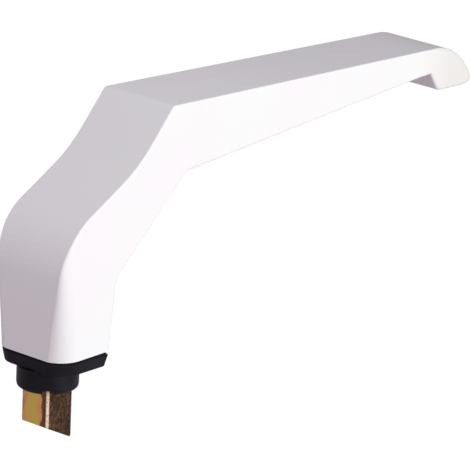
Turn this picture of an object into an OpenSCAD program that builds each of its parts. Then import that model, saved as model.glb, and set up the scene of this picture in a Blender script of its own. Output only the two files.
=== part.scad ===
// Cranked window lever handle with a plug-in guide bush and a square spindle.
// Millimetres. +Z points away from the sash along the spindle, +X runs along the grip.
// The origin is on the spindle's axis, on the underside of the base plate, which is the seat.

/* [Lever] */
// Distance from the spindle's axis to the outermost point of the tip
reach = 109.7; // [90:0.1:140]
// Height of the shoulder above the seat
rise = 46.8; // [38:0.1:60]
// Distance from the spindle's axis to the shoulder
shoulder_out = 22.3; // [20:0.1:26]
// Width of the foot and of the neck
foot_w = 17.6; // [14.6:0.1:22]
// Width of the grip where it stops narrowing, behind the tip
tip_w = 15.4; // [12:0.1:20]
// Length of the flared tip
flare_len = 10.7; // [8:0.1:14]
// Outward lean of the flared tip's sides, in degrees
flare_lean = 4.6; // [0:0.1:6]
// Fall of the grip's top from the shoulder to the tip, in degrees
top_fall = 2.5; // [1:0.1:4]
// Slope of the grip's underside, in degrees
under_slope = 4.15; // [3:0.05:5]
// Depth of the grip at the neck
grip_root_d = 13.4; // [11:0.1:16]
// Radius of the rounded top of the tip, where the nose leaves room for it
tip_round = 11.4; // [8:0.1:13]

/* [Finger hook] */
// Height of the lip below the end of the grip's underside
lip_h = 3.9; // [3:0.1:5]
// Length of the hook along the grip
lip_len = 12.6; // [10:0.1:16]
// Lean of the lip's inner face from the vertical, in degrees
lip_lean = 31; // [20:1:40]
// Lean of the nose from the vertical, in degrees
nose_lean = 25; // [15:1:35]

/* [Neck] */
// Slope of the lower half of the neck's front, in degrees
low_slope = 29; // [25:1:34]
// Slope of the upper half of the neck's front, in degrees
high_slope = 48; // [44:1:52]
// Slope of the neck's rear face, in degrees
rear_slope = 43; // [40:1:47]
// Fall of the neck's front bend below the shoulder
bend_drop = 10.1; // [8:0.1:12]
// Radius of the knuckle above the foot
knuckle_r = 13; // [9:0.5:15]
// Radius of the hollow bend under the shoulder
bend_r = 28; // [20:1:34]

/* [Foot] */
// Distance from the spindle's axis to the front face
foot_front = 5.9; // [5.9:0.1:9]
// Distance from the spindle's axis to the foot's rear bottom edge
foot_back = 7.2; // [6.9:0.1:10]
// Backward lean of the rear face, in degrees
back_lean = 5.9; // [0:0.1:8]
// Radius of the two front corners at the seat
front_corner = 4.7; // [2:0.1:5]
// Height over which the front corners keep their full radius
corner_h = 8; // [4:0.1:9]
// Height above the plate at which the front corners have become sharp
corner_fade = 20.5; // [16:0.1:24]

/* [Base plate] */
// Thickness of the plate
plate_t = 2.9; // [2.2:0.1:4]
// Step in from the foot's outline
plate_inset = 0.1; // [0.1:0.05:0.5]
// Radius of the plate's two rear corners
plate_corner = 0.9; // [0.5:0.1:2]
// Height of the two locating lugs
lug_h = 3; // [2:0.1:4]
// Size of a lug along the grip
lug_l = 4; // [3:0.1:5]
// Thickness of a lug
lug_t = 1.4; // [1:0.1:1.6]

/* [Guide bush] */
// Wall of the bush outside its bore
bush_wall = 1.2; // [1:0.05:1.6]
// Height of the bush
bush_h = 4.4; // [4:0.1:8]
// Radius of the bush's rounded lower rim
bush_round = 1; // [0.6:0.1:1.1]
// Width of the four notches
notch_w = 2.2; // [1.4:0.1:2.6]
// Height of the four notches
notch_h = 0.9; // [0.8:0.1:1.6]

/* [Spindle] */
// Side of the square
square_s = 7; // [5.8:0.1:8.4]
// Radius of the square's corners
square_r = 1; // [0.8:0.05:1.2]
// Length below the seat, on the axis
spindle_out = 12.8; // [9:0.1:60]
// Metal left between the spindle's top and the knuckle's corner
socket_roof = 6.2; // [4.5:0.1:9]
// Slant of the cut lower end, in degrees
cut_slant = 25.5; // [0:0.5:30]

/* [Fixings] */
// Radius of the grub screw
grub_r = 2.5; // [2:0.1:2.5]
// Length of the grub screw
grub_l = 3.8; // [3:0.1:4.2]
// Hexagon socket of the grub screw, across flats
grub_hex = 2.5; // [2:0.1:2.5]
// Depth of that socket
grub_hex_d = 2; // [1.2:0.1:2.4]
// Radius of the plate screws' shank
screw_r = 1; // [0.8:0.05:1]
// Radius of the plate screws' head
screw_head_r = 1.7; // [1.5:0.05:1.8]
// Length of the plate screws
screw_l = 7; // [5:0.5:8]
// Distance of the plate screws from the foot's rear edge
screw_back = 2.4; // [2.2:0.1:2.6]
// Distance of the plate screws from the foot's side faces
screw_side = 2.5; // [2.2:0.1:2.8]

/* [Rings] */
// Thickness of the snap ring's wire
ring_t = 0.7; // [0.5:0.05:0.8]
// Height of the snap ring's middle below the seat
ring_z = 1.9; // [1.8:0.05:2]
// Bite of the snap ring into the spindle's corners
ring_bite = 0.4; // [0.3:0.05:0.5]
// Thickness of the wave ring's strip
wave_t = 0.25; // [0.2:0.05:0.3]
// Height of the wave ring's seat in the bush
wave_h = 0.7; // [0.6:0.05:0.8]
// Width of the wave ring's strip
wave_w = 0.45; // [0.35:0.05:0.5]

/* [Fits] */
// Clearance of the square in its sockets, all round
socket_clear = 0.05; // [0.03:0.01:0.15]
// Radial running clearance between the spindle's corners and the bush
run_clear = 0.06; // [0.02:0.01:0.1]
// Clearance round a ring or a lug
ring_clear = 0.08; // [0.05:0.01:0.1]
// Gap between the plate and the bush
face_gap = 0.05; // [0.03:0.01:0.1]
// Clearance of a screw in its thread or hole
thread_clear = 0.02; // [0.01:0.01:0.05]

/* [Hidden] */

$fn = 64;
eps = 0.01;
// One flat of a rounded outline turns by about this many degrees
arc_step = 5;

// Direction of a line that climbs at angle a
function dir(a) = [cos(a), sin(a)];
// Unit vector
function unit(v) = v / norm(v);
// Crossing of the line through p at angle a with the line through q at angle b
function cross_at(p, a, q, b) =
  let (u = dir(a), v = dir(b), w = q - p)
  p + u * (w[0] * v[1] - w[1] * v[0]) / (u[0] * v[1] - u[1] * v[0]);
// Smallest turn from angle a to angle b
function turn(a, b) = let (d = (b - a) % 360) d > 180 ? d - 360 : d < -180 ? d + 360 : d;
// Points of the rounded corner b of the outline a, b, c, with radius r
function rounded(a, b, c, r) =
  r <= 0 ? [b] :
  let (
    u = unit(a - b),
    v = unit(c - b),
    half = acos(u * v) / 2,
    mid = b + unit(u + v) * r / sin(half),
    from = b + u * r / tan(half) - mid,
    to = b + v * r / tan(half) - mid,
    a0 = atan2(from[1], from[0]),
    da = turn(a0, atan2(to[1], to[0])),
    n = max(2, ceil(abs(da) / arc_step))
  )
  [for (i = [0:n]) mid + r * dir(a0 + da * i / n)];
// A closed outline of corners [[x, z], radius] with every corner rounded
function outline(c) = [
  for (i = [0:len(c) - 1])
    each rounded(c[(i + len(c) - 1) % len(c)][0], c[i][0], c[(i + 1) % len(c)][0], c[i][1])
];

// Radii of the smaller roundings of the lever's side outline
shoulder_r = 1;
nose_r = 1.5;
lip_r = 0.8;
apex_r = 0.3;
crotch_r = 1.5;
heel_r = 5;
// Distance of the grip's inner corner behind the shoulder
crotch_out = 4.4;

// Corners of the lever seen from the side, before they are rounded
shoulder = [shoulder_out, rise];
bend = cross_at(shoulder, high_slope, [0, rise - bend_drop], 0);
foot_low = [-foot_front, plate_t];
knuckle = cross_at(foot_low, 90, bend, low_slope);
under_root = [shoulder_out + crotch_out, rise - grip_root_d];
// The nose's rounding has its outermost point at the reach
nose_x = reach + nose_r * (tan(nose_lean) + 1 / cos(nose_lean) - 1);
apex_x = nose_x - lip_len;
hook_apex = [apex_x, under_root[1] + (apex_x - under_root[0]) * tan(under_slope)];
nose_low = [nose_x, hook_apex[1] - lip_h];
lip_in = cross_at(hook_apex, lip_lean - 90, nose_low, 0);
brow = cross_at(shoulder, -top_fall, nose_low, 90 + nose_lean);
// The tip's rounding ends where the nose's rounding begins
nose_run = norm(nose_low - brow) - nose_r * tan(45 + nose_lean / 2);
tip_r = min(tip_round, 0.98 * nose_run / tan((90 - nose_lean - top_fall) / 2));
foot_rear = [foot_back, plate_t];
heel = cross_at(foot_rear, 90 - back_lean, under_root, rear_slope);
side_outline = outline([
  [foot_low, 0],
  [knuckle, knuckle_r],
  [bend, bend_r],
  [shoulder, shoulder_r],
  [brow, tip_r],
  [nose_low, nose_r],
  [lip_in, lip_r],
  [hook_apex, apex_r],
  [under_root, crotch_r],
  [heel, heel_r],
  [foot_rear, 0]
]);

// A front corner's rounding leans outwards above corner_h, and so runs out at corner_fade
corner_lean = atan(front_corner * (sqrt(2) - 1) / (corner_fade - corner_h));
socket_s = square_s + 2 * socket_clear;
spindle_top = knuckle[1] - socket_roof;
// Distance of the spindle's rounded corners from its axis
corner_reach = (square_s / 2 - square_r) * sqrt(2) + square_r;
bore_r = corner_reach + run_clear;
bush_r = bore_r + bush_wall;
groove_r = corner_reach - ring_bite;
ring_in_r = groove_r + ring_clear;
ring_out_r = bore_r + bush_wall / 3;
wave_in_r = bore_r + ring_clear;
grub_face = square_s / 2;
grub_z = (plate_t + spindle_top) / 2;
screw_x = foot_back - screw_back;
screw_y = foot_w / 2 - screw_side;
// Wall of the casting outside a lug's pocket
lug_wall = 1.7;
lug_x = -0.4;
lug_y = foot_w / 2 - lug_wall - lug_t / 2;

// The lever's side outline, as thick as the foot
module side_slab() {
  rotate([90, 0, 0])
    linear_extrude(foot_w, center = true)
      polygon(side_outline);
}

// What the grip's taper and the flare of its tip take off the side y > 0:
// the side face is whichever of the two planes lies further out
module taper_cut() {
  far = 10;
  taper_len = reach - flare_len - shoulder_out;
  half_taper = atan((foot_w - tip_w) / 2 / taper_len);
  intersection() {
    translate([shoulder_out, foot_w / 2, -1])
      rotate([0, 0, -half_taper])
        translate([-far, 0, 0]) cube([reach + far, far, rise + far]);
    translate([shoulder_out + taper_len, tip_w / 2, -1])
      rotate([0, 0, flare_lean])
        translate([-taper_len - far, 0, 0]) cube([reach + far, far, rise + far]);
  }
}

// What the rounding takes off the front corner on the side y > 0, in plan
module corner_waste() {
  far = 4;
  corner = [-foot_front, foot_w / 2];
  a = corner - [0, front_corner];
  b = corner + [front_corner, 0];
  polygon(concat(
    rounded(a, corner, b, front_corner),
    [b + [0, far], corner + [-far, far], a - [far, 0]]
  ));
}

// Rounding of that corner: upright at the foot, and leaning out of the solid above it
module corner_cut() {
  translate([0, 0, plate_t - 1]) linear_extrude(corner_h + 1) corner_waste();
  translate([-foot_front, foot_w / 2, plate_t + corner_h])
    rotate(a = corner_lean, v = [-1, -1, 0])
      translate([foot_front, -foot_w / 2, 0])
        linear_extrude(corner_fade) corner_waste();
}

// Outline of the base plate
module plate_plan() {
  x0 = -foot_front + plate_inset;
  x1 = foot_back - plate_inset;
  y1 = foot_w / 2 - plate_inset;
  front_r = front_corner - plate_inset;
  polygon(outline([
    [[x0, -y1], front_r],
    [[x1, -y1], plate_corner],
    [[x1, y1], plate_corner],
    [[x0, y1], front_r]
  ]));
}

// Square bar with rounded corners, standing on z = 0
module square_bar(side, corner, height) {
  h = side / 2;
  linear_extrude(height)
    polygon(outline([
      [[-h, -h], corner],
      [[h, -h], corner],
      [[h, h], corner],
      [[-h, h], corner]
    ]));
}

// Flat ring with square edges, from z = 0 up
module flat_ring(inner, outer, height) {
  difference() {
    cylinder(r = outer, h = height);
    translate([0, 0, -1]) cylinder(r = inner, h = height + 2);
  }
}

// Places its children on each side of the middle plane
module both_sides(x, y) {
  for (s = [-1, 1]) translate([x, s * y, 0]) children();
}

module handle_casting() {
  color("white")
    difference() {
      side_slab();
      for (m = [0, 1])
        mirror([0, m, 0]) {
          taper_cut();
          corner_cut();
        }
      // Socket for the spindle
      translate([-socket_s / 2, -socket_s / 2, plate_t - 1])
        cube([socket_s, socket_s, spindle_top + socket_clear - plate_t + 1]);
      // Thread for the grub screw, open at the back
      translate([0, 0, grub_z])
        rotate([0, 90, 0]) cylinder(r = grub_r + thread_clear, h = foot_back + 6);
      // Threads for the plate screws
      both_sides(screw_x, screw_y)
        translate([0, 0, plate_t - 1]) cylinder(r = screw_r + thread_clear, h = screw_l - 1);
      // Pockets for the plate's lugs
      both_sides(lug_x, lug_y)
        translate([-lug_l / 2 - ring_clear, -lug_t / 2 - ring_clear, plate_t - 1])
          cube([lug_l + 2 * ring_clear, lug_t + 2 * ring_clear, lug_h + 1.3]);
    }
}

module base_plate() {
  color("#1b1b1f")
    difference() {
      union() {
        linear_extrude(plate_t) plate_plan();
        both_sides(lug_x, lug_y)
          translate([-lug_l / 2, -lug_t / 2, plate_t - eps]) cube([lug_l, lug_t, lug_h]);
      }
      translate([-socket_s / 2, -socket_s / 2, -1]) cube([socket_s, socket_s, plate_t + 2]);
      both_sides(screw_x, screw_y) {
        translate([0, 0, -1]) cylinder(r = screw_r + thread_clear, h = plate_t + 2);
        screw_cone(thread_clear, 0.1);
      }
    }
}

// Cone of a countersunk head, flush with the seat, grown by a clearance and run on below it
module screw_cone(grow, below) {
  cone_h = screw_head_r - screw_r;
  translate([0, 0, -below])
    cylinder(r1 = screw_head_r + grow + below, r2 = screw_r + grow, h = cone_h + below);
}

module plate_screws() {
  slot_w = 0.5;
  slot_d = 0.5;
  color("silver")
    both_sides(screw_x, screw_y)
      difference() {
        union() {
          screw_cone(0, 0);
          cylinder(r = screw_r, h = screw_l);
        }
        for (a = [0, 90])
          rotate([0, 0, a])
            translate([-screw_head_r * 0.6, -slot_w / 2, -1])
              cube([screw_head_r * 1.2, slot_w, slot_d + 1]);
      }
}

module grub_screw() {
  color("dimgray")
    translate([grub_face, 0, grub_z])
      rotate([0, 90, 0])
        difference() {
          cylinder(r = grub_r, h = grub_l);
          translate([0, 0, grub_l - grub_hex_d])
            cylinder(r = grub_hex / 2 / cos(30), h = grub_hex_d + 1, $fn = 6);
        }
}

module spindle() {
  low = spindle_out + square_s * tan(cut_slant);
  big = 4 * square_s;
  color("#c9a850")
    difference() {
      translate([0, 0, -low]) square_bar(square_s, square_r, low + spindle_top);
      // Slanted lower end
      translate([0, 0, -spindle_out])
        rotate([0, cut_slant, 0])
          translate([-big / 2, -big / 2, -big]) cube([big, big, big]);
      // Groove for the snap ring, which only bites the corners
      translate([0, 0, -ring_z - ring_t / 2 - ring_clear])
        flat_ring(groove_r, corner_reach + 1, ring_t + 2 * ring_clear);
    }
}

module guide_bush() {
  color("#1b1b1f")
    difference() {
      rotate_extrude()
        difference() {
          polygon(outline([
            [[bore_r, -bush_h], 0],
            [[bush_r, -bush_h], bush_round],
            [[bush_r, -face_gap], 0],
            [[bore_r, -face_gap], 0]
          ]));
          // Groove for the snap ring
          translate([bore_r - 1, -ring_z - ring_t / 2 - ring_clear])
            square([ring_out_r + ring_clear - bore_r + 1, ring_t + 2 * ring_clear]);
          // Mouth for the wave ring
          translate([bore_r - 1, -face_gap - wave_h])
            square([wave_in_r + wave_w + ring_clear - bore_r + 1, wave_h + 1]);
        }
      for (a = [45:90:315])
        rotate([0, 0, a])
          translate([bore_r - 1, -notch_w / 2, -bush_h - 1]) cube([bush_r, notch_w, notch_h + 1]);
    }
}

module snap_ring() {
  gap = 2.4;
  color("gray")
    translate([0, 0, -ring_z - ring_t / 2])
      difference() {
        flat_ring(ring_in_r, ring_out_r, ring_t);
        translate([0, -gap / 2, -1]) cube([bush_r, gap, ring_t + 2]);
      }
}

module wave_ring() {
  color("gainsboro")
    translate([0, 0, -face_gap - wave_h + ring_clear])
      flat_ring(wave_in_r, wave_in_r + wave_w, wave_t);
}

handle_casting();
base_plate();
plate_screws();
grub_screw();
spindle();
guide_bush();
snap_ring();
wave_ring();
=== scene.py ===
"""Looks of the cranked window lever handle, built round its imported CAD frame.

Lengths are in millimetres here and become metres when a mesh is finished. Angles are in degrees.
+Z points away from the sash, +X runs along the grip, and Y = 0 is the plane of symmetry.
"""

import math

import bmesh
import bpy
from mathutils import Matrix, Vector
from mathutils.noise import noise as perlin


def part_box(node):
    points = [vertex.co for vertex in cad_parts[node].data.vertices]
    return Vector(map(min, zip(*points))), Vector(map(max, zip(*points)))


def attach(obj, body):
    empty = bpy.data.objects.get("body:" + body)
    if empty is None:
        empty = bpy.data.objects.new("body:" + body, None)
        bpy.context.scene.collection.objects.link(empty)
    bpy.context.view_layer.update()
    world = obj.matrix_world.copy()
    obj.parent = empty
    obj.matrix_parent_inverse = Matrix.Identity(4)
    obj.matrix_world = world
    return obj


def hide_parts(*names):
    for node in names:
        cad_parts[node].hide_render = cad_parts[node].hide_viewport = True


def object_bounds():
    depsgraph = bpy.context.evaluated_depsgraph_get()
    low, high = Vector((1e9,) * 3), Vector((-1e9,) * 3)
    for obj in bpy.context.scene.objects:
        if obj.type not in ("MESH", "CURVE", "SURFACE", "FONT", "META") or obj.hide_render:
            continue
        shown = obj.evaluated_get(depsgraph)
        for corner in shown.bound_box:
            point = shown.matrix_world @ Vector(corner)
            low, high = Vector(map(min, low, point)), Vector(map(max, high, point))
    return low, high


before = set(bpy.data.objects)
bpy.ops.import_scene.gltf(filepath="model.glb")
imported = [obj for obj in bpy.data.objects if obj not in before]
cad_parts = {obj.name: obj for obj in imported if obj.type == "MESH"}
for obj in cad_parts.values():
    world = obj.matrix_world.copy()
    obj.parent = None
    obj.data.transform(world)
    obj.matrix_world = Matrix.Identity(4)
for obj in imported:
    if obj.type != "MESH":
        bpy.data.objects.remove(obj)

cad_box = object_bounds()

MM = 0.001


def box_mm(node):
    """Lowest and highest corner of a CAD node, in millimetres."""
    low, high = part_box(node)
    return low / MM, high / MM


lever_low, lever_high = box_mm("handle_casting")
plate_high = box_mm("base_plate")[1]
spindle_low, spindle_high = box_mm("spindle")
bush_low, bush_high = box_mm("guide_bush")
grub_low, grub_high = box_mm("grub_screw")
screws_low, screws_high = box_mm("plate_screws")

# Lever, all seen from the side. FALL, SLOPE and LEAN are angles, _D is a depth and _R a radius.
FOOT_FRONT = -lever_low.x
PLATE_T = lever_low.z
REACH = lever_high.x
RISE = lever_high.z
FOOT_HALF = lever_high.y
FOOT_BACK = 7.2
SHOULDER_OUT = 22.3
TOP_FALL = 2.5
UNDER_SLOPE = 4.15
GRIP_ROOT_D = 13.4
TIP_R = 11.6
LIP_H = 3.8
LIP_LEN = 12.6
LIP_LEAN = 31
NOSE_LEAN = 25
LOW_SLOPE = 29
HIGH_SLOPE = 48
REAR_SLOPE = 43
BACK_LEAN = 5.9
BEND_DROP = 10.1
CROTCH_OUT = 4.4
KNUCKLE_R = 13
BEND_R = 28
SHOULDER_R = 1.3
NOSE_R = 1.35
LIP_R = 1.5
APEX_R = 0.3
CROTCH_R = 1.5
HEEL_R = 5

# Taper of the grip, and the flare of its tip
TIP_HALF = 7.7
FLARE_LEN = 12.5
FLARE_LEAN = 4.3
FLARE_EASE = 3
FLARE_STEP = 1.25

# Roundings along the lever's edges. A pair is the depth down the side and the width over the rim.
EDGE_R = 0.35
UNDER_R = 0.55
REAR_R = 0.9
NOSE_EDGE = (2.2, 0.9)
LIP_EDGE = (1.2, 0.9)
NOSE_EASE = 2
NOSE_EDGE_BELOW_RISE = (12, 6)
FOOT_EDGE_R = 0.3

# Front corners of the foot: they are widest at the seat and run out up the neck.
# Each starts from the front face with a slight crease and ends tangent to the side face.
CORNER_WIDE = 3.4
CORNER_WIDE_END_Z = 26
CORNER_DEEP = 4.6
CORNER_DEEP_MID = 3.0
CORNER_MID_Z = 20
CORNER_DEEP_END_Z = 28.5
CREASE = 16
CREASE_END_Z = 28
# The outline faces the front where its normal's X is below this
FACES_FRONT = -0.4

# Base plate. Each ring is a height and how far it is stepped in from the foot's outline.
PLATE_CORNER_R = 0.9
PLATE_FRONT_R = 4.6
PLATE_RINGS = ((0.0, 0.5), (2.2, 0.04), (2.9, 0.65))
PLATE_RIM_R = 0.2
LUG = (4.0, 1.4)
LUG_X = -0.4
LUG_WALL = 1.7
LUG_ROOT = 0.5
LUG_GAP = 0.3

# Spindle and its fixings
SQUARE_R = 1.0
CUT_SLANT = 25.5
GROOVE_Z = (-2.33, -1.47)
GROOVE_R = 4.136
SOCKET_CLEAR = 0.05
THREAD_CLEAR = 0.02
SCREW_R = 1.0
SCREW_HEAD_R = 1.7
SCREW_RUNOUT = 1
GRUB_CHAMFER = 0.3

# Uneven surface of the drawn bar: wear at its corners, waviness all over, narrower ends
CORNER_WEAR = 0.010
WAVINESS = 0.012
END_SHARE = 0.965
# Height over which each wall of the bar's groove steps in
GROOVE_STEP = 0.001

# Bush: its bore, the groove of the snap ring, the mouth that holds the wave ring, and the notches
BORE_R = 4.596
BORE_CHAMFER = 0.15
RING_GROOVE_R = 5.075
MOUTH_R = 5.206
MOUTH_DEPTH = 0.7
BUSH_CHAMFER = 0.1
BUSH_ROUND = 0.85
BUSH_EDGE_R = 0.16
NOTCH_W = 2.2
NOTCH_H = 0.9
NOTCH_R = 0.4

# Where the painted shade at the tip starts and where it is full, measured back from the tip
PAINTED_TIP_SHADE = (17, 5)

# How far a cutting solid runs past the face it opens
PAST = 1


def direction(angle):
    """Unit vector in the side plane that climbs at an angle in degrees."""
    return Vector((math.cos(math.radians(angle)), math.sin(math.radians(angle))))


def tan(angle):
    """Tangent of an angle in degrees."""
    return math.tan(math.radians(angle))


def cross_at(p, a, q, b):
    """Crossing of the line through p at angle a with the line through q at angle b."""
    u, v, w = direction(a), direction(b), Vector(q) - Vector(p)
    return Vector(p) + u * (w.x * v.y - w.y * v.x) / (u.x * v.y - u.y * v.x)


def mix(a, b, t):
    """Straight blend from a to b as t goes from 0 to 1, and no further."""
    return a + (b - a) * min(1.0, max(0.0, t))


def smooth(t):
    """Eased ramp from 0 to 1."""
    t = min(1.0, max(0.0, t))
    return t * t * (3 - 2 * t)


def between(value, low, high):
    """How far value is on the way from low to high."""
    return min(1.0, max(0.0, (value - low) / (high - low)))


def arc(before, corner, after, radius, step):
    """Points and outward normals of a corner's rounding, on an outline that turns clockwise."""
    u, v = (before - corner).normalized(), (after - corner).normalized()
    half = u.angle(v) / 2
    centre = corner + (u + v).normalized() * radius / math.sin(half)
    start = corner + u * radius / math.tan(half) - centre
    end = corner + v * radius / math.tan(half) - centre
    sweep = math.atan2(start.x * end.y - start.y * end.x, start.dot(end))
    side = 1 if sweep < 0 else -1
    steps = max(3, math.ceil(abs(math.degrees(sweep)) / step))
    found = []
    for i in range(steps + 1):
        spoke = Matrix.Rotation(sweep * i / steps, 2) @ start
        found.append((centre + spoke, spoke.normalized() * side))
    return found


# Lever ----------------------------------------------------------------------------------------

def lever_corners():
    """Corners of the lever's side outline with their radii, clockwise from the front of the foot."""
    # The shoulder's rounding has its highest point at the rise
    lean = math.radians((HIGH_SLOPE - TOP_FALL) / 2)
    half_turn = math.radians((HIGH_SLOPE + TOP_FALL) / 2)
    lift = SHOULDER_R * (math.cos(lean) / math.cos(half_turn) - 1)
    shoulder = Vector((SHOULDER_OUT, RISE + lift))
    bend = cross_at(shoulder, HIGH_SLOPE, (0, shoulder.y - BEND_DROP), 0)
    foot_low = Vector((-FOOT_FRONT, PLATE_T))
    knuckle = cross_at(foot_low, 90, bend, LOW_SLOPE)
    under_root = Vector((SHOULDER_OUT + CROTCH_OUT, shoulder.y - GRIP_ROOT_D))
    # The nose's rounding has its outermost point at the reach
    nose_x = REACH + NOSE_R * (tan(NOSE_LEAN) + 1 / math.cos(math.radians(NOSE_LEAN)) - 1)
    apex_x = nose_x - LIP_LEN
    apex = Vector((apex_x, under_root.y + (apex_x - under_root.x) * tan(UNDER_SLOPE)))
    nose_low = Vector((nose_x, apex.y - LIP_H))
    lip_in = cross_at(apex, LIP_LEAN - 90, nose_low, 0)
    brow = cross_at(shoulder, -TOP_FALL, nose_low, 90 + NOSE_LEAN)
    foot_rear = Vector((FOOT_BACK, PLATE_T))
    heel = cross_at(foot_rear, 90 - BACK_LEAN, under_root, REAR_SLOPE)
    return [
        (foot_low, 0), (knuckle, KNUCKLE_R), (bend, BEND_R), (shoulder, SHOULDER_R),
        (brow, TIP_R), (nose_low, NOSE_R), (lip_in, LIP_R), (apex, APEX_R),
        (under_root, CROTCH_R), (heel, HEEL_R), (foot_rear, 0),
    ]


def lever_stations(longest=1.3, step=5):
    """Points and outward normals along the lever's side outline, front foot to rear foot."""
    corners = lever_corners()
    runs = [[(corners[0][0], Vector((-1, 0)))]]
    for (a, _), (b, r), (c, _) in zip(corners, corners[1:], corners[2:]):
        runs.append(arc(a, b, c, r, step))
    back = (corners[-1][0] - corners[-2][0]).normalized()
    runs.append([(corners[-1][0], Vector((-back.y, back.x)))])
    found = []
    for run in runs:
        if found:
            (p, _), (q, n) = found[-1], run[0]
            pieces = max(1, math.ceil((q - p).length / longest))
            found += [(p.lerp(q, i / pieces), n) for i in range(1, pieces)]
        found += run
    return found


def edge_size(point, normal):
    """Depth of an edge's rounding down the side face, its width over the rim, and its crease."""
    x, z = point
    if normal.x < FACES_FRONT and x < SHOULDER_OUT:
        wide = mix(CORNER_WIDE, EDGE_R, between(z, PLATE_T, CORNER_WIDE_END_Z))
        deep = mix(CORNER_DEEP, CORNER_DEEP_MID, between(z, PLATE_T, CORNER_MID_Z))
        deep = mix(deep, EDGE_R, smooth(between(z, CORNER_MID_Z, CORNER_DEEP_END_Z)))
        return deep, wide, CREASE * (1 - between(z, CORNER_MID_Z, CREASE_END_Z))
    tip = REACH - TIP_R - NOSE_EASE
    if x > tip and normal.x > 0:
        t = smooth(between(x, tip, REACH - 0.4 * TIP_R))
        low_end, high_end = (RISE - below for below in NOSE_EDGE_BELOW_RISE)
        high = between(z, low_end, high_end)
        deep, wide = mix(LIP_EDGE[0], NOSE_EDGE[0], high), mix(LIP_EDGE[1], NOSE_EDGE[1], high)
        return mix(EDGE_R, deep, t), mix(EDGE_R, wide, t), 0
    if normal.y > 0:
        return EDGE_R, EDGE_R, 0
    r = mix(REAR_R, UNDER_R, between(x, FOOT_BACK, 2 * FOOT_BACK))
    return r, r, 0


def edge_profile(deep, wide, crease, steps=9):
    """Depths below the rim and distances from the side face along a rounded edge.

    It is part of an ellipse. Its normal turns evenly from the crease to the side face.
    """
    # The ellipse's own start angle depends on its axes, so a few rounds settle both
    start = math.radians(crease)
    for _ in range(4):
        a, b = deep / math.cos(start), wide / (1 - math.sin(start))
        start = math.atan(tan(crease) * b / a)
    found = []
    for i in range(steps + 1):
        lean = mix(crease, 89.99, i / steps)
        t = math.atan(tan(lean) * b / a)
        found.append((a * (math.cos(start) - math.cos(t)), b * (1 - math.sin(t))))
    return found


def half_width(x):
    """Half of the lever's width, which narrows from the shoulder on and flares at the tip."""
    flare_x = REACH - FLARE_LEN
    width = mix(FOOT_HALF, TIP_HALF, between(x, SHOULDER_OUT, flare_x))
    past = x - flare_x
    if past > FLARE_EASE:
        return width + past * tan(FLARE_LEAN)
    if past > -FLARE_EASE:
        return width + (past + FLARE_EASE) ** 2 / (4 * FLARE_EASE) * tan(FLARE_LEAN)
    return width


def lever_shell():
    """The lever's outer skin: a rim round the side outline, rounded edges and two flat sides."""
    bm = bmesh.new()
    rows = []
    for point, normal in lever_stations():
        row = []
        for depth, distance in edge_profile(*edge_size(point, normal)):
            inner = point - normal * depth
            row.append((inner.x, FOOT_HALF - distance, inner.y))
        mirrored = [(x, -y, z) for x, y, z in reversed(row)]
        rows.append([bm.verts.new(p) for p in mirrored + row])
    for a, b in zip(rows, rows[1:]):
        for i in range(len(a) - 1):
            bm.faces.new((a[i], a[i + 1], b[i + 1], b[i]))
    for end in (0, -1):
        bm.faces.new([row[end] for row in rows])
    bm.faces.new(rows[0] + rows[-1][::-1])
    bmesh.ops.remove_doubles(bm, verts=bm.verts, dist=1e-4)
    bmesh.ops.recalc_face_normals(bm, faces=bm.faces)
    if bm.calc_volume(signed=True) < 0:
        bmesh.ops.reverse_faces(bm, faces=bm.faces)
    return bm


def shape_width(bm):
    """Cuts the flat sides where the width changes, and gives them that width."""
    cuts = [SHOULDER_OUT]
    x = REACH - FLARE_LEN - FLARE_EASE
    while x < REACH - 1:
        cuts.append(x)
        x += FLARE_STEP
    for x in cuts:
        everything = bm.verts[:] + bm.edges[:] + bm.faces[:]
        bmesh.ops.bisect_plane(bm, geom=everything, plane_co=(x, 0, 0), plane_no=(1, 0, 0))
    for v in bm.verts:
        v.co.y *= half_width(v.co.x) / FOOT_HALF


def round_rim(bm, z, radius, segments=7):
    """Rounds the edges all round a flat face at a height."""
    bm.normal_update()
    edges = [
        e for e in bm.edges
        if all(abs(v.co.z - z) < 1e-3 for v in e.verts)
        and len(e.link_faces) == 2
        and sum(abs(f.normal.z) > 0.999 for f in e.link_faces) == 1
    ]
    bmesh.ops.bevel(
        bm, geom=edges, offset=radius, segments=segments, profile=0.5,
        affect="EDGES", clamp_overlap=True,
    )


# Solids for cutting ---------------------------------------------------------------------------

def block(low, high):
    """A box between two corners."""
    bm = bmesh.new()
    low, high = Vector(low), Vector(high)
    size = high - low
    where = Matrix.Translation((low + high) / 2) @ Matrix.Diagonal((*size, 1))
    bmesh.ops.create_cube(bm, size=1, matrix=where)
    return bm


def lathe(profile, steps=72):
    """A closed profile of (radius, height) points turned round the Z axis."""
    bm = bmesh.new()
    rings = []
    for i in range(steps):
        a = 2 * math.pi * i / steps
        rings.append([bm.verts.new((r * math.cos(a), r * math.sin(a), z)) for r, z in profile])
    for i in range(steps):
        a, b = rings[i], rings[(i + 1) % steps]
        for k in range(len(profile)):
            m = (k + 1) % len(profile)
            if max(profile[k][0], profile[m][0]) > 0:
                bm.faces.new((a[k], b[k], b[m], a[m]))
    bmesh.ops.remove_doubles(bm, verts=bm.verts, dist=1e-5)
    bmesh.ops.dissolve_degenerate(bm, dist=1e-5, edges=bm.edges)
    bmesh.ops.recalc_face_normals(bm, faces=bm.faces)
    return bm


def moved(bm, matrix):
    """The same solid, after a transform."""
    bmesh.ops.transform(bm, matrix=matrix, verts=bm.verts)
    return bm


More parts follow.
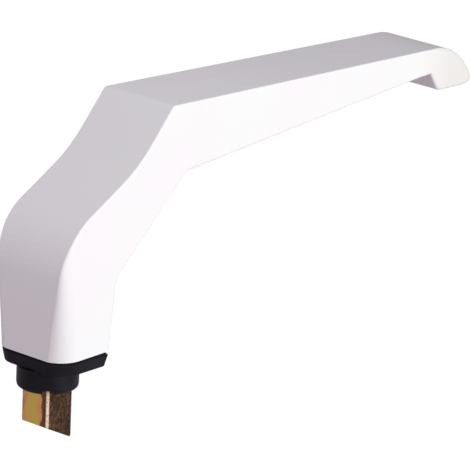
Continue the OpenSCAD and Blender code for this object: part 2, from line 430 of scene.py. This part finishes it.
def combine(bm, tools, operation="DIFFERENCE"):
    """Cuts tools out of a solid, or joins them to it. All of them are bmeshes in millimetres."""
    made = []
    for solid in [bm, *tools]:
        mesh = bpy.data.meshes.new("scratch")
        solid.to_mesh(mesh)
        solid.free()
        scratch = bpy.data.objects.new("scratch", mesh)
        bpy.context.scene.collection.objects.link(scratch)
        made.append(scratch)
    for tool in made[1:]:
        step = made[0].modifiers.new("cut", "BOOLEAN")
        step.object = tool
        step.operation = operation
        step.solver = "EXACT"
    graph = bpy.context.evaluated_depsgraph_get()
    result = bpy.data.meshes.new_from_object(made[0].evaluated_get(graph))
    found = bmesh.new()
    found.from_mesh(result)
    # A boolean can leave a sliver of a face open
    rim = [e for e in found.edges if e.is_boundary]
    if rim:
        bmesh.ops.holes_fill(found, edges=rim, sides=0)
    bmesh.ops.recalc_face_normals(found, faces=found.faces)
    bpy.data.meshes.remove(result)
    for scratch in made:
        mesh = scratch.data
        bpy.data.objects.remove(scratch)
        bpy.data.meshes.remove(mesh)
    return found


def screw_places():
    """Centres of the two plate screws."""
    x = (screws_low.x + screws_high.x) / 2
    y = screws_high.y - SCREW_HEAD_R
    return [(x, -y), (x, y)]


def lug_places():
    """Centres of the plate's two locating lugs."""
    y = FOOT_HALF - LUG_WALL - LUG[1] / 2
    return [(LUG_X, -y), (LUG_X, y)]


def lug(x, y, low, high, grow=0.0):
    """A lug of the plate or, grown by a clearance, its pocket in the foot."""
    length, thick = LUG[0] / 2 + grow, LUG[1] / 2 + grow
    return block((x - length, y - thick, low), (x + length, y + thick, high))


def socket(low, high):
    """The square hole for the spindle."""
    half = spindle_high.x + SOCKET_CLEAR
    return block((-half, -half, low), (half, half, high))


def finish_mesh(name, bm, body, replaced, material, sharp=14):
    """Turns a bmesh in millimetres into a smooth-shaded piece that stands for CAD nodes."""
    bmesh.ops.remove_doubles(bm, verts=bm.verts, dist=1e-4)
    bmesh.ops.transform(bm, matrix=Matrix.Scale(MM, 4), verts=bm.verts)
    for face in bm.faces:
        face.smooth = True
    mesh = bpy.data.meshes.new(name)
    bm.to_mesh(mesh)
    bm.free()
    mesh.set_sharp_from_angle(angle=math.radians(sharp))
    mesh.materials.append(material)
    piece = bpy.data.objects.new(name, mesh)
    bpy.context.scene.collection.objects.link(piece)
    weighted = piece.modifiers.new("even_faces", "WEIGHTED_NORMAL")
    weighted.keep_sharp = True
    weighted.weight = 100
    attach(piece, body)
    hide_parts(*replaced)
    return piece


# Materials -----------------------------------------------------------------------------------

def node_material(name):
    """A new material with its node tree and its shader."""
    material = bpy.data.materials.new(name)
    material.use_nodes = True
    tree = material.node_tree
    return material, tree, tree.nodes["Principled BSDF"]


def place_mm(tree, stretch=(1, 1, 1)):
    """Object coordinates in millimetres, squeezed along each axis."""
    where = tree.nodes.new("ShaderNodeTexCoord")
    mapping = tree.nodes.new("ShaderNodeMapping")
    mapping.inputs["Scale"].default_value = [s / MM for s in stretch]
    tree.links.new(where.outputs["Object"], mapping.inputs["Vector"])
    return mapping.outputs["Vector"]


def noise(tree, where, size, detail=3.0, rough=0.5):
    """Noise whose features are about size millimetres wide."""
    n = tree.nodes.new("ShaderNodeTexNoise")
    n.inputs["Scale"].default_value = 1 / size
    n.inputs["Detail"].default_value = detail
    n.inputs["Roughness"].default_value = rough
    tree.links.new(where, n.inputs["Vector"])
    return n.outputs["Fac"]


def ramp(tree, fac, stops):
    """Colour ramp through (position, colour) stops."""
    r = tree.nodes.new("ShaderNodeValToRGB")
    while len(r.color_ramp.elements) < len(stops):
        r.color_ramp.elements.new(0.5)
    for element, (position, colour) in zip(r.color_ramp.elements, stops):
        element.position = position
        element.color = (*colour, 1)
    tree.links.new(fac, r.inputs["Fac"])
    return r.outputs["Color"]


def spread(tree, fac, low, high):
    """Maps noise to the range from low to high."""
    m = tree.nodes.new("ShaderNodeMapRange")
    m.inputs["From Min"].default_value = 0.3
    m.inputs["From Max"].default_value = 0.7
    m.inputs["To Min"].default_value = low
    m.inputs["To Max"].default_value = high
    tree.links.new(fac, m.inputs["Value"])
    return m.outputs["Result"]


def bump(tree, height, depth_mm, under=None):
    """Bump of a depth in millimetres, on top of another if there is one."""
    b = tree.nodes.new("ShaderNodeBump")
    b.inputs["Distance"].default_value = depth_mm * MM
    tree.links.new(height, b.inputs["Height"])
    if under is not None:
        tree.links.new(under, b.inputs["Normal"])
    return b.outputs["Normal"]


def white_coat():
    """Satin powder coat with faint orange peel.

    Its tone drifts a little from place to place, and towards the tip it is coloured darker and
    warmer as painted shade.
    """
    material, tree, shader = node_material("white_coat")
    where = place_mm(tree)
    split = tree.nodes.new("ShaderNodeSeparateXYZ")
    tree.links.new(where, split.inputs["Vector"])
    start, full = (REACH - back for back in PAINTED_TIP_SHADE)
    tip_shade = step_up(tree, split.outputs["X"], start, full)
    drift = noise(tree, where, 22, 2)
    tone = ramp(tree, drift, [
        (0.35, (0.815, 0.791, 0.809)),
        (0.50, (0.813, 0.804, 0.806)),
        (0.65, (0.800, 0.811, 0.814)),
    ])
    # Painted shade: a darker, warmer tone blended in towards the tip
    painted_shade_tone = ramp(tree, drift, [(0.35, (0.728, 0.702, 0.676)), (0.65, (0.720, 0.706, 0.684))])
    tree.links.new(blend(tree, tip_shade, tone, painted_shade_tone), shader.inputs["Base Color"])
    peel = noise(tree, where, 0.9, 2)
    grain = noise(tree, where, 0.16, 2)
    tree.links.new(spread(tree, peel, 0.48, 0.56), shader.inputs["Roughness"])
    normal = bump(tree, grain, 0.004, bump(tree, peel, 0.012))
    tree.links.new(normal, shader.inputs["Normal"])
    shader.inputs["Specular IOR Level"].default_value = 0.28
    return material


def black_nylon(name, grain_mm, depth_mm, rough):
    """Black moulded nylon with the fine grain of a spark-eroded mould."""
    material, tree, shader = node_material(name)
    where = place_mm(tree)
    grain = noise(tree, where, grain_mm, 4, 0.6)
    flow = noise(tree, where, 3.5, 2)
    tone = ramp(tree, flow, [
        (0.35, (0.007, 0.006, 0.009)),
        (0.65, (0.011, 0.010, 0.014)),
    ])
    tree.links.new(tone, shader.inputs["Base Color"])
    tree.links.new(spread(tree, grain, rough - 0.06, rough + 0.08), shader.inputs["Roughness"])
    tree.links.new(bump(tree, grain, depth_mm), shader.inputs["Normal"])
    shader.inputs["Specular IOR Level"].default_value = 0.14
    return material


def scaled(tree, value, factor, offset=0.0):
    """A value times a factor, plus an offset."""
    m = tree.nodes.new("ShaderNodeMath")
    m.operation = "MULTIPLY_ADD"
    m.inputs[1].default_value = factor
    m.inputs[2].default_value = offset
    tree.links.new(value, m.inputs[0])
    return m.outputs["Value"]


def maths(tree, operation, *values):
    """A Math node's result for one or two values."""
    m = tree.nodes.new("ShaderNodeMath")
    m.operation = operation
    for value, socket_in in zip(values, m.inputs):
        tree.links.new(value, socket_in)
    return m.outputs["Value"]


def step_up(tree, value, low, high):
    """0 below low, 1 above high, and eased between."""
    m = tree.nodes.new("ShaderNodeMapRange")
    m.interpolation_type = "SMOOTHSTEP"
    m.inputs["From Min"].default_value = low
    m.inputs["From Max"].default_value = high
    tree.links.new(value, m.inputs["Value"])
    return m.outputs["Result"]


def blend(tree, fac, low, high):
    """Colour low where fac is 0, colour high where it is 1."""
    m = tree.nodes.new("ShaderNodeMix")
    m.data_type = "RGBA"
    tree.links.new(fac, m.inputs["Factor"])
    tree.links.new(low, m.inputs["A"])
    tree.links.new(high, m.inputs["B"])
    return m.outputs["Result"]


def yellow_zinc():
    """Drawn steel, zinc plated and yellow passivated.

    Two faces are golden, olive along the middle, and coloured dark beside one corner as a painted
    dark reflection.
    The two faces across the lever are dull, and coloured dark as a painted dark reflection, with
    speckle. The corners are coloured bright cream, a painted highlight.
    """
    material, tree, shader = node_material("yellow_zinc")
    where = place_mm(tree)
    split = tree.nodes.new("ShaderNodeSeparateXYZ")
    tree.links.new(where, split.inputs["Vector"])
    x = maths(tree, "ABSOLUTE", split.outputs["X"])
    y = maths(tree, "ABSOLUTE", split.outputs["Y"])
    half = spindle_high.x
    cloud = noise(tree, place_mm(tree, (1, 1, 0.6)), 1.3, 3, 0.6)
    fine = noise(tree, where, 0.28, 4, 0.65)
    place = scaled(tree, split.outputs["Y"], -0.5 / half, 0.5)
    streaks = maths(tree, "ADD", place, scaled(tree, cloud, 0.5, -0.25))
    # Golden, olive and orange tones of the passivation. The last two dark stops are a painted dark
    # reflection beside the corner at -Y.
    gold_and_painted_band = ramp(tree, streaks, [
        (0.04, (0.58, 0.30, 0.15)),
        (0.22, (0.86, 0.48, 0.16)),
        (0.40, (0.74, 0.59, 0.11)),
        (0.50, (0.70, 0.63, 0.11)),
        (0.62, (0.86, 0.51, 0.14)),
        (0.73, (0.84, 0.45, 0.18)),
        (0.78, (0.22, 0.12, 0.055)),
        (0.90, (0.14, 0.075, 0.038)),
    ])
    # Painted dark reflection: a dark, speckled colour for the two faces across the lever
    dark_face_speckle = noise(tree, place_mm(tree, (1, 1, 0.6)), 0.55, 5, 0.72)
    painted_dark_reflection = ramp(tree, dark_face_speckle, [
        (0.34, (0.020, 0.013, 0.009)),
        (0.50, (0.075, 0.042, 0.023)),
        (0.64, (0.140, 0.085, 0.050)),
        (0.78, (0.420, 0.300, 0.200)),
    ])
    # Painted highlight: a bright cream colour for the rounded corners
    painted_corner_highlight = ramp(tree, fine, [
        (0.36, (0.50, 0.27, 0.13)),
        (0.52, (1.00, 0.82, 0.62)),
    ])
    # Mask of the two faces across the lever, which take the painted dark reflection and more
    # roughness
    side = step_up(tree, y, half - 0.16, half - 0.06)
    # Mask of the rounded corners, which take the painted highlight and less metal
    nearer = maths(tree, "MINIMUM", x, y)
    corner = step_up(tree, nearer, half - 0.62, half - 0.44)
    # The faces across the lever take the painted dark reflection, and the corners take the painted
    # highlight
    tone = blend(tree, corner, blend(tree, side, gold_and_painted_band, painted_dark_reflection), painted_corner_highlight)
    tree.links.new(tone, shader.inputs["Base Color"])
    # The painted highlight on the corners is mostly not metallic
    tree.links.new(scaled(tree, corner, -0.8, 1.0), shader.inputs["Metallic"])
    drawn = noise(tree, place_mm(tree, (1, 1, 0.06)), 0.22, 4, 0.6)
    rough = maths(tree, "ADD", spread(tree, fine, 0.28, 0.44), scaled(tree, side, 0.2))
    tree.links.new(rough, shader.inputs["Roughness"])
    normal = bump(tree, fine, 0.014, bump(tree, drawn, 0.012))
    tree.links.new(normal, shader.inputs["Normal"])
    return material


def steel(name, dark, light, rough):
    """Turned or drawn steel with fine marks."""
    material, tree, shader = node_material(name)
    where = place_mm(tree)
    marks = noise(tree, where, 0.25, 4, 0.6)
    tree.links.new(ramp(tree, marks, [(0.3, dark), (0.7, light)]), shader.inputs["Base Color"])
    shader.inputs["Metallic"].default_value = 1.0
    tree.links.new(spread(tree, marks, rough - 0.08, rough + 0.08), shader.inputs["Roughness"])
    tree.links.new(bump(tree, marks, 0.006), shader.inputs["Normal"])
    return material


def repaint(node, material):
    """Gives a CAD node a procedural material."""
    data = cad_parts[node].data
    data.materials.clear()
    data.materials.append(material)


# Pieces ---------------------------------------------------------------------------------------

def lever(material):
    """The casting, with the holes for what it holds."""
    bm = lever_shell()
    shape_width(bm)
    round_rim(bm, PLATE_T, FOOT_EDGE_R)
    grub_z = (grub_low.z + grub_high.z) / 2
    grub_r = grub_high.y + THREAD_CLEAR
    back_x = FOOT_BACK + (grub_z - PLATE_T) * tan(BACK_LEAN)
    mouth = back_x + 2 * GRUB_CHAMFER
    thread = lathe([
        (0, 0), (grub_r, 0), (grub_r, back_x - GRUB_CHAMFER), (grub_r + 3 * GRUB_CHAMFER, mouth),
        (0, mouth),
    ])
    across = Matrix.Translation((0, 0, grub_z)) @ Matrix.Rotation(math.pi / 2, 4, "Y")
    below = PLATE_T - PAST
    cuts = [socket(below, spindle_high.z + SOCKET_CLEAR), moved(thread, across)]
    for x, y in screw_places():
        r, top = SCREW_R + THREAD_CLEAR, screws_high.z + SCREW_RUNOUT
        hole = lathe([(0, below), (r, below), (r, top), (0, top)], 32)
        cuts.append(moved(hole, Matrix.Translation((x, y, 0))))
    for x, y in lug_places():
        cuts.append(lug(x, y, below, plate_high.z + LUG_GAP, SOCKET_CLEAR))
    bm = combine(bm, cuts)
    return finish_mesh("lever", bm, "lever", ["handle_casting"], material)


def plate_ring(inset):
    """Outline of the base plate, stepped in from the foot's outline."""
    low, high = -FOOT_FRONT + inset, FOOT_BACK - inset
    half = FOOT_HALF - inset
    corners = [
        (Vector((low, -half)), PLATE_FRONT_R - inset), (Vector((low, half)), PLATE_FRONT_R - inset),
        (Vector((high, half)), PLATE_CORNER_R), (Vector((high, -half)), PLATE_CORNER_R),
    ]
    found = []
    for i, (corner, r) in enumerate(corners):
        before, after = corners[i - 1][0], corners[(i + 1) % 4][0]
        found += [p for p, _ in arc(before, corner, after, r, step=9)]
    return found


def plate(material):
    """The plate, drafted towards the sash and chamfered under the lever."""
    bm = bmesh.new()
    rings = [[bm.verts.new((*p, z)) for p in plate_ring(inset)] for z, inset in PLATE_RINGS]
    count = len(rings[0])
    for a, b in zip(rings, rings[1:]):
        for i in range(count):
            k = (i + 1) % count
            bm.faces.new((a[i], a[k], b[k], b[i]))
    bm.faces.new(rings[0])
    bm.faces.new(rings[-1][::-1])
    bmesh.ops.recalc_face_normals(bm, faces=bm.faces)
    round_rim(bm, 0, PLATE_RIM_R)
    top = PLATE_RINGS[-1][0]
    lugs = [lug(x, y, top - LUG_ROOT, plate_high.z) for x, y in lug_places()]
    bm = combine(bm, lugs, "UNION")
    cuts = [socket(-PAST, top + PAST)]
    cone = PAST / 2
    for x, y in screw_places():
        r, head = SCREW_R + THREAD_CLEAR, SCREW_HEAD_R + THREAD_CLEAR
        hole = lathe([
            (0, -cone), (head + cone, -cone), (r, head - r), (r, top + PAST), (0, top + PAST),
        ], 32)
        cuts.append(moved(hole, Matrix.Translation((x, y, 0))))
    bm = combine(bm, cuts)
    return finish_mesh("foot_plate", bm, "lever", ["base_plate"], material)


def bush(material):
    """The guide bush, with rounded lobes between its four notches."""
    radius, low, high = bush_high.x, bush_low.z, bush_high.z
    groove_low, groove_high = GROOVE_Z
    mouth_z = high - MOUTH_DEPTH
    profile = [(BORE_R, low + BORE_CHAMFER), (BORE_R + BORE_CHAMFER, low)]
    steps = 8
    for i in range(steps + 1):
        a = math.pi / 2 * i / steps
        profile.append((
            radius - BUSH_ROUND * (1 - math.sin(a)), low + BUSH_ROUND * (1 - math.cos(a)),
        ))
    profile += [(radius, high - BUSH_CHAMFER), (radius - BUSH_CHAMFER, high)]
    profile += [(MOUTH_R, high), (MOUTH_R, mouth_z), (BORE_R, mouth_z)]
    profile += [(BORE_R, groove_high), (RING_GROOVE_R, groove_high)]
    profile += [(RING_GROOVE_R, groove_low), (BORE_R, groove_low)]
    bm = lathe(profile, 96)
    cuts = []
    for i in range(4):
        notch = block(
            (BORE_R - PAST, -NOTCH_W / 2, low - PAST), (radius + PAST, NOTCH_W / 2, low + NOTCH_H),
        )
        # The two edges that run outwards along the notch's ceiling
        ceiling = [
            e for e in notch.edges
            if all(v.co.z > low for v in e.verts) and abs(e.verts[0].co.y - e.verts[1].co.y) < 1e-6
        ]
        bmesh.ops.bevel(
            notch, geom=ceiling, offset=NOTCH_R, segments=5, profile=0.5, affect="EDGES",
        )
        turn = Matrix.Rotation(math.pi / 4 + i * math.pi / 2, 4, "Z")
        cuts.append(moved(notch, turn))
    bm = combine(bm, cuts)
    piece = finish_mesh("hub_bush", bm, "bush", ["guide_bush"], material, 30)
    soft = piece.modifiers.new("soft_edges", "BEVEL")
    soft.width = BUSH_EDGE_R * MM
    soft.segments = 3
    soft.limit_method = "ANGLE"
    soft.angle_limit = math.radians(40)
    piece.modifiers.move(1, 0)
    return piece


def square_section(corner_steps=9, side_steps=7):
    """Outline of the square bar with rounded corners, and how near each point is to a corner."""
    half = spindle_high.x
    flat = half - SQUARE_R
    found = []
    for i in range(4):
        turn = Matrix.Rotation(i * math.pi / 2, 2)
        for k in range(side_steps):
            y = flat * (2 * k / side_steps - 1)
            found.append((turn @ Vector((half, y)), 0.0))
        for k in range(corner_steps):
            a = math.pi / 2 * k / corner_steps
            p = Vector((flat + SQUARE_R * math.cos(a), flat + SQUARE_R * math.sin(a)))
            found.append((turn @ p, math.sin(2 * a)))
    return found


def noise_of(p, z):
    """Smooth unevenness of a drawn bar, from about -1 to 1, the same on every run."""
    return perlin((p.x * 0.9, p.y * 0.9, z * 1.7)) + 0.5 * perlin((p.x * 2, p.y * 2, z * 4.1 + 7))


def spindle(material):
    """The drawn square bar, a little uneven along its corners, with its groove and slanted end."""
    section = square_section()
    axis_end = spindle_low.z + spindle_high.x * tan(CUT_SLANT)
    top = spindle_high.z
    groove_low, groove_high = GROOVE_Z
    upper_steps, lower_steps = 24, 34
    # The ring just under the top end carries its narrowing
    end_ring, first_ring = 0.25, 0.6
    heights = [top, top - end_ring]
    heights += [mix(top - first_ring, groove_high, i / upper_steps) for i in range(upper_steps + 1)]
    heights += [groove_high - GROOVE_STEP, groove_low + GROOVE_STEP]
    bm = bmesh.new()
    rows = []
    for z in heights:
        rows.append([(p, near, z) for p, near in section])
    for i in range(lower_steps + 1):
        row = []
        for p, near in section:
            end = axis_end - p.x * tan(CUT_SLANT)
            row.append((p, near, mix(groove_low, end, i / lower_steps)))
        rows.append(row)
    rings = []
    for k, row in enumerate(rows):
        ring = []
        for p, near, z in row:
            wobble = noise_of(p, z)
            q = p * (1 - near * CORNER_WEAR * max(0.0, wobble))
            q -= p.normalized() * WAVINESS * abs(wobble)
            in_groove = groove_low + GROOVE_STEP / 2 < z < groove_high - GROOVE_STEP / 2
            if in_groove and q.length > GROOVE_R:
                q = q.normalized() * GROOVE_R
            if k in (0, len(rows) - 1):
                q *= END_SHARE
            ring.append(bm.verts.new((*q, z)))
        rings.append(ring)
    count = len(section)
    for a, b in zip(rings, rings[1:]):
        for i in range(count):
            k = (i + 1) % count
            bm.faces.new((a[i], b[i], b[k], a[k]))
    bm.faces.new(rings[0])
    bm.faces.new(rings[-1][::-1])
    bmesh.ops.recalc_face_normals(bm, faces=bm.faces)
    return finish_mesh("square_bar", bm, "lever", ["spindle"], material, 25)


lever(white_coat())
plate(black_nylon("black_nylon", grain_mm=0.22, depth_mm=0.02, rough=0.58))
bush(black_nylon("bush_nylon", grain_mm=0.5, depth_mm=0.006, rough=0.42))
spindle(yellow_zinc())
repaint("grub_screw", steel("dark_steel", (0.05, 0.05, 0.055), (0.12, 0.12, 0.13), 0.4))
repaint("plate_screws", steel("bright_steel", (0.5, 0.5, 0.52), (0.66, 0.66, 0.68), 0.3))
spring_steel = steel("spring_steel", (0.22, 0.22, 0.23), (0.36, 0.36, 0.38), 0.35)
repaint("snap_ring", spring_steel)
repaint("wave_ring", spring_steel)


# Studio ---------------------------------------------------------------------------------------

def emission(name, colour, strength):
    """A material that only glows."""
    material = bpy.data.materials.new(name)
    material.use_nodes = True
    tree = material.node_tree
    tree.nodes.clear()
    glow = tree.nodes.new("ShaderNodeEmission")
    glow.inputs["Color"].default_value = (*colour, 1)
    glow.inputs["Strength"].default_value = strength
    out = tree.nodes.new("ShaderNodeOutputMaterial")
    tree.links.new(glow.outputs["Emission"], out.inputs["Surface"])
    return material


def studio_shell():
    """A pale floor that sweeps up into a dome, so that no horizon shows from any side."""
    radius, floor = 4.0, 2.5
    bm = bmesh.new()
    bmesh.ops.create_icosphere(bm, subdivisions=5, radius=radius)
    for v in bm.verts:
        v.co.z = max(v.co.z, -floor)
    mesh = bpy.data.meshes.new("floor")
    bm.to_mesh(mesh)
    bm.free()
    mesh.materials.append(emission("pale_floor", (1, 1, 1), 1.02))
    shell = bpy.data.objects.new("floor", mesh)
    bpy.context.scene.collection.objects.link(shell)
    for ray in ("visible_diffuse", "visible_glossy", "visible_transmission", "visible_shadow"):
        setattr(shell, ray, False)


def soft_box(name, azimuth, height, distance, size, power, colour):
    """A square area light that faces the middle of the lever from a compass direction."""
    target = (Vector(cad_box[0]) + Vector(cad_box[1])) / 2
    data = bpy.data.lights.new(name, "AREA")
    data.size = size
    data.energy = power
    data.color = colour
    lamp = bpy.data.objects.new(name, data)
    bpy.context.scene.collection.objects.link(lamp)
    a, e = math.radians(azimuth), math.radians(height)
    out = Vector((math.cos(a) * math.cos(e), math.sin(a) * math.cos(e), math.sin(e)))
    lamp.location = target + out * distance
    lamp.rotation_euler = (-out).to_track_quat("-Z", "Y").to_euler()


def sky():
    """Even light from all round, dimmer from below."""
    world = bpy.data.worlds.new("studio")
    bpy.context.scene.world = world
    world.use_nodes = True
    tree = world.node_tree
    where = tree.nodes.new("ShaderNodeTexCoord")
    split = tree.nodes.new("ShaderNodeSeparateXYZ")
    tree.links.new(where.outputs["Generated"], split.inputs["Vector"])
    height = tree.nodes.new("ShaderNodeMapRange")
    height.inputs["From Min"].default_value = -1
    tree.links.new(split.outputs["Z"], height.inputs["Value"])
    colour = ramp(tree, height.outputs["Result"], [
        (0.20, (0.515, 0.444, 0.500)),
        (0.55, (0.468, 0.404, 0.455)),
        (1.00, (0.240, 0.216, 0.262)),
    ])
    tree.links.new(colour, tree.nodes["Background"].inputs["Color"])


def camera():
    """A long lens that looks at the front and near side of the lever, a little from above."""
    heading, pitch, roll = (math.radians(a) for a in (41.01, 17.82, -2.42))
    distance, lens, sensor = 898.8, 375.2, 36.0
    aim = Vector((27.33, -20.34, 23.80))
    ahead = Vector((
        math.cos(heading) * math.cos(pitch), math.sin(heading) * math.cos(pitch), -math.sin(pitch),
    ))
    level = Vector((math.sin(heading), -math.cos(heading), 0))
    turn = Matrix.Rotation(roll, 3, ahead)
    right = turn @ level
    up = right.cross(ahead)
    data = bpy.data.cameras.new("camera")
    data.lens, data.sensor_width = lens, sensor
    data.clip_start, data.clip_end = 0.01, 20
    seen = bpy.data.objects.new("camera", data)
    bpy.context.scene.collection.objects.link(seen)
    axes = Matrix((right, up, -ahead)).transposed().to_4x4()
    seen.matrix_world = Matrix.Translation((aim - ahead * distance) * MM) @ axes
    bpy.context.scene.camera = seen


camera()
sky()
studio_shell()
soft_box(
    "key", azimuth=280, height=7, distance=1.2, size=0.5, power=11.5, colour=(0.94, 1.0, 0.95),
)
soft_box(
    "fill", azimuth=195, height=56, distance=0.30, size=0.22, power=0.345, colour=(0.95, 1.0, 0.97),
)
bpy.context.scene.view_settings.view_transform = "Standard"
